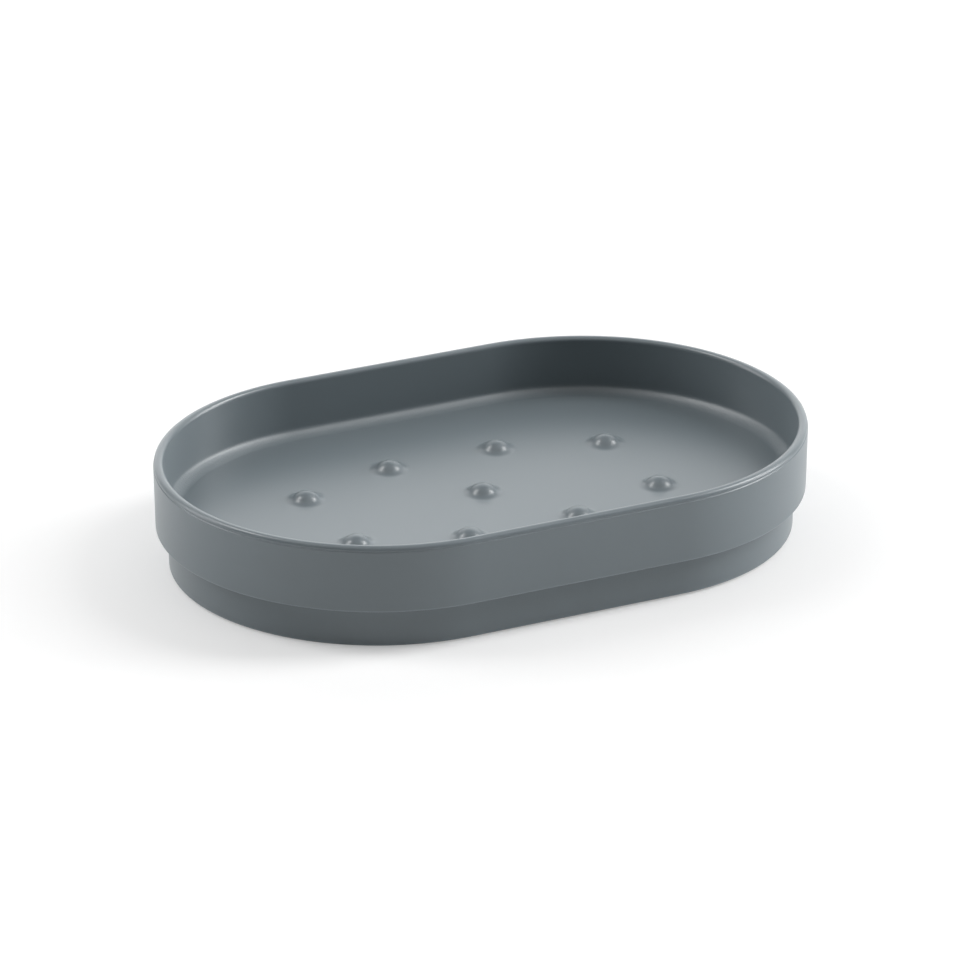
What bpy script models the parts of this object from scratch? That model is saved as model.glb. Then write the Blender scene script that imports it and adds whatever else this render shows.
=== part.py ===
"""Soap dish: a moulded tray with a stepped outer wall, domed studs and four push-in feet.

Run it from Blender's text editor, or with blender --background --python part.py.
Lengths are in metres and +Z is up. The long axis is X, the front faces -Y, and the
origin is the middle of the dish on the surface that it stands on.
"""

import math

import bmesh
import bpy
from mathutils import Matrix, Vector

# The whole dish
LENGTH = 0.1350
WIDTH = 0.0895
HEIGHT = 0.0224
STAND_OFF = 0.0004

# The upright wall and its rounded rim
RIM_WALL = 0.0019
RIM_OUTER_RADIUS = 0.00125
RIM_INNER_RADIUS = 0.00060
BAND_DRAFT = 0.00022
INNER_DRAFT = 0.00015

# The tray inside, with the cove that runs from the wall down to the floor
TRAY_DEPTH = 0.0120
FLOOR_WALL = 0.0022
COVE_WIDTH = 0.00235
COVE_RISE = 0.0010
COVE_RADIUS = 0.0012
COVE_FOOT_RADIUS = 0.0040

# The step under the band and the skirt below it
STEP_DROP = 0.0017
STEP_INSET = 0.0030
STEP_EDGE_RADIUS = 0.0002
STEP_CORNER_RADIUS = 0.0003
SKIRT_WALL = 0.0021
SKIRT_DRAFT = 0.00012
SKIRT_EDGE_RADIUS = 0.0004
UNDERSIDE_FILLET = 0.0008

# The domed studs that keep the soap off the floor
STUD_HEIGHT = 0.0018
STUD_DOME_RADIUS = 0.0031
STUD_FILLET_RADIUS = 0.0027
STUD_SINK = 0.00003
STUD_ROOT = 0.0006

# Places of the studs, as shares of the floor's half length and half width
STUD_PLACE_SHARES = (
    (0, 0),
    (0.190, 0.466),
    (-0.190, 0.466),
    (0.190, -0.466),
    (-0.190, -0.466),
    (0.530, 0.297),
    (-0.530, 0.297),
    (0.530, -0.297),
    (-0.530, -0.297),
)

# The push-in feet
FOOT_PAD_RADIUS = 0.0045
FOOT_PAD_HEIGHT = 0.0013
FOOT_EDGE_RADIUS = 0.0004
FOOT_STEM_RADIUS = 0.00145
FOOT_RING_RADIUS = 0.00175
FOOT_RING_HEIGHT = 0.0007
FOOT_TIP_RADIUS = 0.0009
FOOT_TIP_HEIGHT = 0.0008
FOOT_RING_SHARES = (0.30, 0.62)

# The bosses that hold the feet, and what ties them to the dish
SEAT_GAP = 0.0003
SOCKET_END_GAP = 0.0010
BOSS_WALL = 0.0015
BOSS_DRAFT = 0.0003
BOSS_FILLET = 0.0006
BOSS_TO_SKIRT = 0.0022
BOSS_ANGLE = math.radians(45)
WEB_THICKNESS = 0.0014
WEB_RECESS = 0.0008
RIB_THICKNESS = 0.0014
RIB_DROP = 0.0024
RIB_EDGE_RADIUS = 0.0003
OVERRUN = 0.0010
MERGE_DISTANCE = 0.00001

# How finely round shapes are cut
END_STEPS = 28
STUD_STEPS = 18
BOSS_STEPS = 20
FOOT_STEPS = 18
CORNER_STEPS = 4
FOOT_CORNER_STEPS = 2
DOME_RINGS = 4
FILLET_RINGS = 3

# Levels and radii that follow from the sizes above
END_RADIUS = WIDTH / 2
HALF_STRAIGHT = LENGTH / 2 - END_RADIUS
FLOOR_TOP = HEIGHT - TRAY_DEPTH
FLOOR_UNDER = FLOOR_TOP - FLOOR_WALL
COVE_LEVEL = FLOOR_TOP + COVE_RISE
STEP_LEVEL = FLOOR_TOP - STEP_DROP
WALL_LOW_INSET = RIM_WALL + INNER_DRAFT
FLOOR_EDGE_INSET = WALL_LOW_INSET + COVE_WIDTH
SKIRT_INNER_INSET = STEP_INSET + SKIRT_WALL
BOSS_END = FOOT_PAD_HEIGHT + SEAT_GAP
SOCKET_RADIUS = FOOT_RING_RADIUS + SEAT_GAP
SOCKET_TOP = FLOOR_UNDER
BOSS_RADIUS = SOCKET_RADIUS + BOSS_WALL
BOSS_ROOT_RADIUS = BOSS_RADIUS + BOSS_DRAFT
BOSS_REACH = END_RADIUS - SKIRT_INNER_INSET - BOSS_TO_SKIRT - BOSS_ROOT_RADIUS
BOSS_X = HALF_STRAIGHT + BOSS_REACH * math.cos(BOSS_ANGLE)
BOSS_Y = BOSS_REACH * math.sin(BOSS_ANGLE)
STEM_TOP = SOCKET_TOP - SOCKET_END_GAP

FOOT_PLACES = {
    "foot_front_left": (-BOSS_X, -BOSS_Y),
    "foot_front_right": (BOSS_X, -BOSS_Y),
    "foot_back_left": (-BOSS_X, BOSS_Y),
    "foot_back_right": (BOSS_X, BOSS_Y),
}

GREY_PLASTIC = ("grey_plastic", (0.180, 0.206, 0.217, 1.0), 0.40)
SOFT_FOOT = ("soft_foot", (0.060, 0.063, 0.066, 1.0), 0.80)


def clear_scene():
    """Remove every object that is in the scene already."""
    for thing in list(bpy.data.objects):
        bpy.data.objects.remove(thing, do_unlink=True)


def make_material(name, colour, roughness):
    """A plain plastic with one colour and one roughness."""
    material = bpy.data.materials.new(name)
    material.use_nodes = True
    shader = material.node_tree.nodes["Principled BSDF"]
    shader.inputs["Base Color"].default_value = colour
    shader.inputs["Roughness"].default_value = roughness
    shader.inputs["Metallic"].default_value = 0
    return material


def make_mesh(name, shape):
    """Turn a bmesh into a mesh with its faces pointing out and its round faces smooth."""
    bmesh.ops.recalc_face_normals(shape, faces=shape.faces)
    mesh = bpy.data.meshes.new(name)
    shape.to_mesh(mesh)
    shape.free()
    mesh.shade_smooth()
    mesh.set_sharp_from_angle(angle=math.radians(35))
    return mesh


def add_object(name, mesh, parent=None):
    """Put a mesh into the scene as a named object."""
    thing = bpy.data.objects.new(name, mesh)
    bpy.context.scene.collection.objects.link(thing)
    thing.parent = parent
    return thing


def add_guide(name, shape, parent):
    """A shape that only joins or cuts the dish, and is no piece of its own."""
    guide = add_object(name, make_mesh(name, shape), parent)
    guide.hide_render = True
    guide.display_type = "WIRE"
    return guide


def combine(body, guide, operation):
    """Join a guide to the body, or cut it away."""
    modifier = body.modifiers.new(guide.name, "BOOLEAN")
    modifier.operation = operation
    modifier.solver = "EXACT"
    modifier.object = guide


def rounded_outline(corners, steps):
    """Replace each corner (across, up, radius) of an open outline by an arc of its radius."""
    points = []
    last = len(corners) - 1
    for index, (across, up, radius) in enumerate(corners):
        here = Vector((across, up))
        if index in (0, last) or radius <= 0:
            points.append(here)
            continue
        before = (Vector(corners[index - 1][:2]) - here).normalized()
        after = (Vector(corners[index + 1][:2]) - here).normalized()
        half_angle = before.angle(after) / 2
        reach = radius / math.tan(half_angle)
        centre = here + (before + after).normalized() * (radius / math.sin(half_angle))
        start = here + before * reach - centre
        end = here + after * reach - centre
        turn = math.atan2(start.x * end.y - start.y * end.x, start.dot(end))
        for step in range(steps + 1):
            points.append(centre + Matrix.Rotation(turn * step / steps, 2) @ start)
    return points


def add_chain(shape, points):
    """Draw an open chain of edges in the XZ plane."""
    corners = [shape.verts.new((point[0], 0, point[1])) for point in points]
    edges = [shape.edges.new(pair) for pair in zip(corners, corners[1:])]
    return corners, edges


def turned(points, steps):
    """Spin an outline, given as radius and height, a full turn round Z."""
    shape = bmesh.new()
    corners, edges = add_chain(shape, points)
    bmesh.ops.spin(
        shape,
        geom=corners + edges,
        cent=(0, 0, 0),
        axis=(0, 0, 1),
        angle=math.tau,
        steps=steps,
        use_merge=True,
    )
    bmesh.ops.remove_doubles(shape, verts=shape.verts, dist=MERGE_DISTANCE)
    return shape


def copies(shape, places):
    """One mesh that holds a copy of a shape at each place."""
    pattern = bmesh.new()
    mesh = bpy.data.meshes.new("pattern")
    shape.to_mesh(mesh)
    shape.free()
    for place in places:
        first = len(pattern.verts)
        pattern.from_mesh(mesh)
        pattern.verts.ensure_lookup_table()
        bmesh.ops.translate(pattern, verts=pattern.verts[first:], vec=place)
    bpy.data.meshes.remove(mesh)
    return pattern


def wall_section():
    """The wall's section from the tray's floor over the rim to the underside, as inset and height."""
    return rounded_outline(
        (
            (FLOOR_EDGE_INSET + OVERRUN, FLOOR_TOP, 0),
            (FLOOR_EDGE_INSET, FLOOR_TOP, min(COVE_FOOT_RADIUS, COVE_WIDTH * 2)),
            (WALL_LOW_INSET, COVE_LEVEL, min(COVE_RADIUS, COVE_WIDTH / 2)),
            (RIM_WALL, HEIGHT, min(RIM_INNER_RADIUS, RIM_WALL / 3)),
            (0, HEIGHT, min(RIM_OUTER_RADIUS, RIM_WALL * 2 / 3)),
            (BAND_DRAFT, STEP_LEVEL, STEP_EDGE_RADIUS),
            (STEP_INSET, STEP_LEVEL, STEP_CORNER_RADIUS),
            (STEP_INSET + SKIRT_DRAFT, STAND_OFF, min(SKIRT_EDGE_RADIUS, SKIRT_WALL / 3)),
            (SKIRT_INNER_INSET - SKIRT_DRAFT, STAND_OFF, min(SKIRT_EDGE_RADIUS, SKIRT_WALL / 3)),
            (SKIRT_INNER_INSET, FLOOR_UNDER, UNDERSIDE_FILLET),
            (SKIRT_INNER_INSET + UNDERSIDE_FILLET + OVERRUN, FLOOR_UNDER, 0),
        ),
        CORNER_STEPS,
    )


def dish_shell():
    """Carry the wall's section round the stadium outline, then close the floor on both sides."""
    shape = bmesh.new()
    points = [(END_RADIUS - inset, level) for inset, level in wall_section()]
    corners, edges = add_chain(shape, points)
    quarter_back = Matrix.Rotation(-math.pi / 2, 4, "Z")
    bmesh.ops.transform(shape, matrix=quarter_back, verts=corners)
    bmesh.ops.translate(shape, verts=corners, vec=(HALF_STRAIGHT, 0, 0))
    front = list(corners) + list(edges)
    for side in (1, -1):
        turned_end = bmesh.ops.spin(
            shape,
            geom=front,
            cent=(side * HALF_STRAIGHT, 0, 0),
            axis=(0, 0, 1),
            angle=math.pi,
            steps=END_STEPS,
        )["geom_last"]
        end_edges = [part for part in turned_end if isinstance(part, bmesh.types.BMEdge)]
        straight = bmesh.ops.extrude_edge_only(shape, edges=end_edges)["geom"]
        front = [part for part in straight if not isinstance(part, bmesh.types.BMFace)]
        moved = [part for part in straight if isinstance(part, bmesh.types.BMVert)]
        bmesh.ops.translate(shape, verts=moved, vec=(-2 * side * HALF_STRAIGHT, 0, 0))
    bmesh.ops.remove_doubles(shape, verts=shape.verts, dist=MERGE_DISTANCE)
    open_edges = [edge for edge in shape.edges if edge.is_boundary]
    bmesh.ops.holes_fill(shape, edges=open_edges, sides=0)
    return shape


def stud_outline():
    """A dome that runs into the floor through a fillet, as radius and height above the floor."""
    dome_centre = STUD_HEIGHT - STUD_DOME_RADIUS
    foot_radius = math.sqrt(
        (STUD_DOME_RADIUS + STUD_FILLET_RADIUS) ** 2 - (STUD_FILLET_RADIUS - dome_centre) ** 2
    )
    join = math.atan2(foot_radius, STUD_FILLET_RADIUS - dome_centre)
    points = []
    for ring in range(DOME_RINGS + 1):
        angle = join * ring / DOME_RINGS
        radius = STUD_DOME_RADIUS * math.sin(angle)
        points.append((radius, dome_centre + STUD_DOME_RADIUS * math.cos(angle)))
    for ring in range(1, FILLET_RINGS + 1):
        angle = join * (1 - ring / FILLET_RINGS)
        radius = foot_radius - STUD_FILLET_RADIUS * math.sin(angle)
        points.append((radius, STUD_FILLET_RADIUS - STUD_FILLET_RADIUS * math.cos(angle)))
    points.append((foot_radius, -STUD_ROOT))
    points.append((0, -STUD_ROOT))
    return points


def studs():
    """The nine studs, a hair deeper than the floor so that each fillet meets it in one clean ring."""
    half_length = LENGTH / 2 - FLOOR_EDGE_INSET
    half_width = WIDTH / 2 - FLOOR_EDGE_INSET
    places = [
        (half_length * along, half_width * across, FLOOR_TOP - STUD_SINK)
        for along, across in STUD_PLACE_SHARES
    ]
    return copies(turned(stud_outline(), STUD_STEPS), places)


def foot_places(level=0):
    """The four places of the feet at one level."""
    return [(x, y, level) for x, y in FOOT_PLACES.values()]


def bosses():
    """The tapered tubes under the floor that the feet are pushed into, still solid."""
    root = FLOOR_UNDER + FLOOR_WALL / 2
    outline = rounded_outline(
        (
            (0, BOSS_END, 0),
            (BOSS_RADIUS, BOSS_END, SOCKET_END_GAP / 4),
            (BOSS_ROOT_RADIUS, FLOOR_UNDER, min(BOSS_FILLET, BOSS_TO_SKIRT / 3)),
            (BOSS_ROOT_RADIUS + BOSS_FILLET, FLOOR_UNDER + STUD_SINK, 0),
        ),
        CORNER_STEPS,
    )
    outline.append(Vector((outline[-1].x, root)))
    outline.append(Vector((0, root)))
    return copies(turned(outline, BOSS_STEPS), foot_places())


def sockets():
    """The blind bores that take the stems."""
    outline = (
        (0, SOCKET_TOP),
        (SOCKET_RADIUS, SOCKET_TOP),
        (SOCKET_RADIUS, BOSS_END - OVERRUN),
        (0, BOSS_END - OVERRUN),
    )
    return copies(turned(outline, BOSS_STEPS), foot_places())


def bar(length, thickness, low, high):
    """A rib along X, centred on the Z axis, with its two lower edges rounded."""
    shape = bmesh.new()
    bmesh.ops.create_cube(shape, size=1)
    bmesh.ops.scale(shape, verts=shape.verts, vec=(length, thickness, high - low))
    bmesh.ops.translate(shape, verts=shape.verts, vec=(0, 0, (high + low) / 2))
    middle = (high + low) / 2
    lower = [
        edge
        for edge in shape.edges
        if max(corner.co.z for corner in edge.verts) < middle
        and abs(edge.verts[0].co.y - edge.verts[1].co.y) < thickness / 2
    ]
    bmesh.ops.bevel(
        shape,
        geom=lower,
        offset=min(RIB_EDGE_RADIUS, thickness / 4),
        segments=2,
        profile=0.5,
        affect="EDGES",
    )
    return shape


def ribs_along():
    """Two low ribs that join the bosses along the dish."""
    root = FLOOR_UNDER + FLOOR_WALL / 2
    rib = bar(2 * BOSS_X, RIB_THICKNESS, FLOOR_UNDER - RIB_DROP, root)
    return copies(rib, [(0, -BOSS_Y, 0), (0, BOSS_Y, 0)])


def ribs_across():
    """Two low ribs that join the bosses across the dish."""
    root = FLOOR_UNDER + FLOOR_WALL / 2
    rib = bar(2 * BOSS_Y, RIB_THICKNESS, FLOOR_UNDER - RIB_DROP, root)
    bmesh.ops.rotate(rib, verts=rib.verts, cent=(0, 0, 0), matrix=Matrix.Rotation(math.pi / 2, 3, "Z"))
    return copies(rib, [(-BOSS_X, 0, 0), (BOSS_X, 0, 0)])


def webs():
    """Four tall webs that tie each boss to the skirt in line with the end's centre."""
    root = FLOOR_UNDER + FLOOR_WALL / 2
    skirt_middle = END_RADIUS - SKIRT_INNER_INSET + SKIRT_WALL / 2
    pattern = bmesh.new()
    mesh = bpy.data.meshes.new("web")
    for along in (-1, 1):
        for across in (-1, 1):
            web = bar(skirt_middle - BOSS_REACH, WEB_THICKNESS, BOSS_END + WEB_RECESS, root)
            middle = (skirt_middle + BOSS_REACH) / 2
            heading = math.atan2(across * math.sin(BOSS_ANGLE), along * math.cos(BOSS_ANGLE))
            bmesh.ops.translate(web, verts=web.verts, vec=(middle, 0, 0))
            bmesh.ops.rotate(web, verts=web.verts, cent=(0, 0, 0), matrix=Matrix.Rotation(heading, 3, "Z"))
            bmesh.ops.translate(web, verts=web.verts, vec=(along * HALF_STRAIGHT, 0, 0))
            web.to_mesh(mesh)
            web.free()
            pattern.from_mesh(mesh)
    bpy.data.meshes.remove(mesh)
    return pattern


def make_dish(parent, material):
    """The moulded dish, with studs on its floor and foot bosses under it."""
    body = add_object("dish_body", make_mesh("dish_body", dish_shell()), parent)
    body.data.materials.append(material)
    combine(body, add_guide("stud_guide", studs(), parent), "UNION")
    combine(body, add_guide("boss_guide", bosses(), parent), "UNION")
    combine(body, add_guide("rib_along_guide", ribs_along(), parent), "UNION")
    combine(body, add_guide("rib_across_guide", ribs_across(), parent), "UNION")
    combine(body, add_guide("web_guide", webs(), parent), "UNION")
    combine(body, add_guide("socket_guide", sockets(), parent), "DIFFERENCE")
    return body


def foot_outline():
    """A flat pad with a soft edge, and a stem with two holding rings and a tapered tip."""
    stem_length = STEM_TOP - FOOT_PAD_HEIGHT
    corners = [
        (0, 0, 0),
        (FOOT_PAD_RADIUS, 0, FOOT_EDGE_RADIUS),
        (FOOT_PAD_RADIUS, FOOT_PAD_HEIGHT, FOOT_EDGE_RADIUS / 2),
        (FOOT_STEM_RADIUS, FOOT_PAD_HEIGHT, 0),
    ]
    ring_height = min(FOOT_RING_HEIGHT, stem_length / 4)
    for share in FOOT_RING_SHARES:
        level = FOOT_PAD_HEIGHT + stem_length * share - ring_height / 2
        corners.append((FOOT_STEM_RADIUS, level, 0))
        corners.append((FOOT_RING_RADIUS, level + ring_height / 4, 0))
        corners.append((FOOT_STEM_RADIUS, level + ring_height, 0))
    corners.append((FOOT_STEM_RADIUS, STEM_TOP - min(FOOT_TIP_HEIGHT, stem_length / 6), 0))
    corners.append((FOOT_TIP_RADIUS, STEM_TOP, 0))
    corners.append((0, STEM_TOP, 0))
    return rounded_outline(corners, FOOT_CORNER_STEPS)


def make_feet(parent, material):
    """Four like feet, each seated in its boss."""
    mesh = make_mesh("push_in_foot", turned(foot_outline(), FOOT_STEPS))
    mesh.materials.append(material)
    for name, (x, y) in FOOT_PLACES.items():
        foot = add_object(name, mesh, parent)
        foot.location = (x, y, 0)


def main():
    clear_scene()
    base = add_object("soap_dish", None)
    make_dish(base, make_material(*GREY_PLASTIC))
    make_feet(base, make_material(*SOFT_FOOT))


main()
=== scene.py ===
"""Soap dish: the finished moulding, its feet and the studio that it stands in.

The file is laid out as a Blender add-on and is run as a script. Lengths are in metres, +Z is up,
the dish's long axis is X and its front faces -Y.
"""

import math

import bmesh
import bpy
from bpy.props import FloatProperty, FloatVectorProperty, IntProperty, PointerProperty
from mathutils import Matrix, Vector


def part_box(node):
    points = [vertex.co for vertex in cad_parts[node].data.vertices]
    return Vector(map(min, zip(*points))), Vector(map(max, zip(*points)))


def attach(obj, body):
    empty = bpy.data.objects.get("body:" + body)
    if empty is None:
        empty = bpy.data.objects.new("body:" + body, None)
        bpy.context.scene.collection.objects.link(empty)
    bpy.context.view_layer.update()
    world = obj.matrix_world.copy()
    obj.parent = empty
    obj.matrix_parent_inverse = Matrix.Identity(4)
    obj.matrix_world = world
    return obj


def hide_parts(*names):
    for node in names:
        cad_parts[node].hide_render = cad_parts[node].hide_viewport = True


bl_info = {
    "name": "Moulded soap dish",
    "version": (1, 0, 0),
    "blender": (4, 5, 0),
    "location": "3D View > Sidebar > Soap Dish",
    "description": "Models a stepped soap dish with domed studs and push-in feet",
    "category": "Object",
}

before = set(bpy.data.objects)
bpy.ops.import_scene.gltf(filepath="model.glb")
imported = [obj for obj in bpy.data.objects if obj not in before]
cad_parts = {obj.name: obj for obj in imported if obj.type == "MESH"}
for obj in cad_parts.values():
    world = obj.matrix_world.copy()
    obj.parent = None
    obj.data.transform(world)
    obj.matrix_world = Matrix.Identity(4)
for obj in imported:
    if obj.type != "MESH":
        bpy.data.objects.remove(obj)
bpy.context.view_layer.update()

BODY_LOW, BODY_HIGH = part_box("dish_body")
FOOT_NODES = ("foot_front_left", "foot_front_right", "foot_back_left", "foot_back_right")

# Distances under which two points are one, and by which joining shapes run into each other
MERGE_DISTANCE = 0.000001
OVERLAP = 0.0010

# Edges sharper than this stay sharp, and flat faces count this much in the smooth shading
SHARP_ANGLE = math.radians(40)
FLAT_FACE_WEIGHT = 80

# Cuts across the rounding of a rib's edge
RIB_EDGE_STEPS = 5

# Cells of the broad unevenness of a surface, as a share of those of its grain
BROAD_GRAIN_SHARE = 0.006

# The least flat length of a direction, so that straight up divides by more than zero
LEAST_FLAT = 0.001

# Places of the studs, as shares of half the length and half the width of the field that they stand in
STUD_PLACE_SHARES = (
    (0, 0),
    (0.190, 0.466),
    (-0.190, 0.466),
    (0.190, -0.466),
    (-0.190, -0.466),
    (0.530, 0.297),
    (-0.530, 0.297),
    (0.530, -0.297),
    (-0.530, -0.297),
)


def length(name, description, default):
    """A size that can be set in the sidebar."""
    return FloatProperty(
        name=name, description=description, default=default, unit="LENGTH", precision=5
    )


def angle(name, description, degrees):
    """An angle that can be set in the sidebar."""
    return FloatProperty(
        name=name, description=description, default=math.radians(degrees), subtype="ANGLE"
    )


def number(name, description, default):
    """A plain number that can be set in the sidebar."""
    return FloatProperty(name=name, description=description, default=default)


def count(name, description, default):
    """A whole number that can be set in the sidebar."""
    return IntProperty(name=name, description=description, default=default)


def colour(name, description, default):
    """A colour that can be set in the sidebar."""
    return FloatVectorProperty(
        name=name, description=description, default=default, subtype="COLOR", size=3, min=0, max=1
    )


class DishSizes(bpy.types.PropertyGroup):
    """Sizes of the moulded dish."""

    length: length("Length", "Outside length over the rim", BODY_HIGH[0] - BODY_LOW[0])
    width: length("Width", "Outside width over the rim", BODY_HIGH[1] - BODY_LOW[1])
    rim_level: length("Rim level", "Height of the rim above the shelf", BODY_HIGH[2])
    stand_off: length("Stand-off", "Height of the skirt's edge above the shelf", BODY_LOW[2])
    rim_wall: length("Rim wall", "Thickness of the wall at the rim", 0.0020)
    crown_width: length("Crown width", "How far the rim's outer rounding reaches in", 0.00090)
    crown_height: length("Crown height", "How far the rim's outer rounding reaches down", 0.00080)
    rim_inner_radius: length("Rim inner radius", "Rounding inside the rim", 0.00090)
    parting_drop: length("Parting drop", "Rim down to the parting line", 0.00118)
    parting_step: length("Parting step", "How far the band stands out past the rim", 0.00010)
    parting_height: length("Parting height", "Height of the parting line's sloping edge", 0.00016)
    parting_groove: length("Parting groove", "How far the line is cut in under the rim", 0.00004)
    band_draft: length("Band draft", "How far the band leans in at its lower edge", 0.00022)
    inner_draft: length("Inner draft", "How far the inner wall leans in at its foot", 0.00015)
    tray_depth: length("Tray depth", "Rim to tray floor", 0.0120)
    floor_wall: length("Floor wall", "Thickness of the floor", 0.0022)
    cove_width: length("Cove width", "Wall to where the cove's slope would meet the floor", 0.00153)
    cove_rise: length("Cove rise", "Floor up to where the cove's slope would meet the wall", 0.00128)
    cove_radius: length("Cove radius", "Radius where the cove leaves the wall", 0.0010)
    cove_foot_radius: length("Cove foot", "Radius where the cove runs into the floor", 0.0037)
    step_drop: length("Step drop", "Tray floor down to the step under the band", 0.0017)
    step_inset: length("Step inset", "How far the skirt is set back under the band", 0.0026)
    step_edge_radius: length("Step edge", "Rounding of the band's lower edge", 0.0002)
    step_corner_radius: length("Step corner", "Fillet between step and skirt", 0.0003)
    skirt_wall: length("Skirt wall", "Thickness of the skirt", 0.0025)
    skirt_draft: length("Skirt draft", "How far the skirt leans in at its edge", 0.00012)
    skirt_edge_radius: length("Skirt edge", "Rounding of the skirt's lower edge", 0.0004)
    underside_fillet: length("Underside fillet", "Fillet between skirt and underside", 0.0008)
    end_steps: count("End steps", "Cuts round each end", 96)
    corner_steps: count("Corner steps", "Cuts round each corner", 7)


class StudSizes(bpy.types.PropertyGroup):
    """Sizes of one domed stud."""

    field_inset: length("Field inset", "From the wall to the field whose shares place the studs", 0.0023)
    height: length("Height", "Height of a stud above the floor", 0.0018)
    dome_radius: length("Dome radius", "Radius of the dome", 0.0035)
    fillet_radius: length("Fillet radius", "Fillet between dome and floor", 0.0026)
    skirt_margin: length("Margin", "Flat ring of floor kept round each fillet", 0.0004)
    steps: count("Steps", "Cuts round each stud", 56)
    dome_rings: count("Dome rings", "Rings up each dome", 12)
    fillet_rings: count("Fillet rings", "Rings down each fillet", 8)


class UndersideSizes(bpy.types.PropertyGroup):
    """Sizes of the bosses, ribs and webs under the floor."""

    seat_gap: length("Seat gap", "Air round a foot's stem and over its pad", 0.0003)
    socket_end_gap: length("Socket end gap", "Air over a stem's tip", 0.0010)
    boss_wall: length("Boss wall", "Thickness of a boss at its end", 0.0015)
    boss_draft: length("Boss draft", "How much wider a boss is at its root", 0.0003)
    boss_fillet: length("Boss fillet", "Fillet at a boss's root", 0.0006)
    boss_edge_radius: length("Boss edge", "Rounding of a boss's end", 0.00025)
    boss_to_skirt: length("Boss to skirt", "Room between boss and skirt", 0.0022)
    web_thickness: length("Web thickness", "Thickness of the webs to the skirt", 0.0014)
    web_recess: length("Web recess", "How far the webs stay short of a boss's end", 0.0008)
    rib_thickness: length("Rib thickness", "Thickness of the ribs between bosses", 0.0014)
    rib_drop: length("Rib drop", "Height of the ribs below the floor", 0.0024)
    rib_edge_radius: length("Rib edge", "Rounding of the ribs' edges", 0.0003)
    boss_angle: angle("Boss angle", "Angle of a boss round its end", 45)
    steps: count("Steps", "Cuts round each boss", 64)


class FootSizes(bpy.types.PropertyGroup):
    """Sizes of one push-in foot."""

    pad_radius: length("Pad radius", "Radius of the pad", 0.0045)
    pad_height: length("Pad height", "Height of the pad", 0.0013)
    edge_radius: length("Edge radius", "Rounding of the pad's lower edge", 0.0004)
    stem_radius: length("Stem radius", "Radius of the stem", 0.00145)
    ring_radius: length("Ring radius", "Radius of the holding rings", 0.00175)
    ring_height: length("Ring height", "Height of a holding ring", 0.0007)
    tip_radius: length("Tip radius", "Radius of the stem's tip", 0.0009)
    tip_height: length("Tip height", "Height of the stem's tapered tip", 0.0008)
    lower_ring_share: number("Lower ring", "Place of the lower ring along the stem", 0.30)
    upper_ring_share: number("Upper ring", "Place of the upper ring along the stem", 0.62)
    steps: count("Steps", "Cuts round each foot", 64)


class FinishColours(bpy.types.PropertyGroup):
    """Colours and gloss of the two plastics."""

    plastic: colour("Plastic", "Colour of the moulded dish", (0.173, 0.205, 0.223))
    plastic_roughness: number("Plastic roughness", "Satin of the dish", 0.34)
    plastic_ior: number("Plastic IOR", "How strongly the dish's plastic reflects", 1.50)
    plastic_grain: number("Plastic grain", "Cells of the dish's fine grain in a metre", 5200)
    plastic_depth: length("Plastic depth", "Depth of the dish's fine grain", 0.0000025)
    plastic_tone: number("Plastic tone", "Unevenness of the dish's tone", 0.03)
    plastic_gloss: number("Plastic gloss", "Unevenness of the dish's gloss", 0.08)
    rim_roughness: number("Rim roughness", "Polish of the rim's rounding", 0.32)
    # Painted highlight: how much lighter the colour is made along the lower edges of band and skirt
    edge_highlight_paint: number("Edge wear", "How much lighter the worn edges are", 0.30)
    cove_roughness: number("Cove roughness", "Dullness of the grained cove", 0.42)
    cove_sheen: number("Cove sheen", "Extra reflection on the cove", 0.38)
    cove_grain: number("Cove grain", "Cells of the cove's grain in a metre", 2600)
    cove_depth: length("Cove depth", "Depth of the cove's grain", 0.00007)
    cove_tone: number("Cove tone", "Unevenness of the cove's tone", 0.12)
    cove_sheen_roughness: number("Cove sheen roughness", "Dullness of the extra reflection", 0.45)
    rubber: colour("Soft foot", "Colour of the soft feet", (0.060, 0.063, 0.066))
    rubber_roughness: number("Foot roughness", "Dullness of the feet", 0.78)
    rubber_ior: number("Foot IOR", "How strongly the feet reflect", 1.45)
    rubber_grain: number("Foot grain", "Cells of the feet's grain in a metre", 3600)
    rubber_depth: length("Foot depth", "Depth of the feet's grain", 0.000012)
    rubber_tone: number("Foot tone", "Unevenness of the feet's tone", 0.10)
    rubber_gloss: number("Foot gloss", "Unevenness of the feet's gloss", 0.12)


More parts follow.
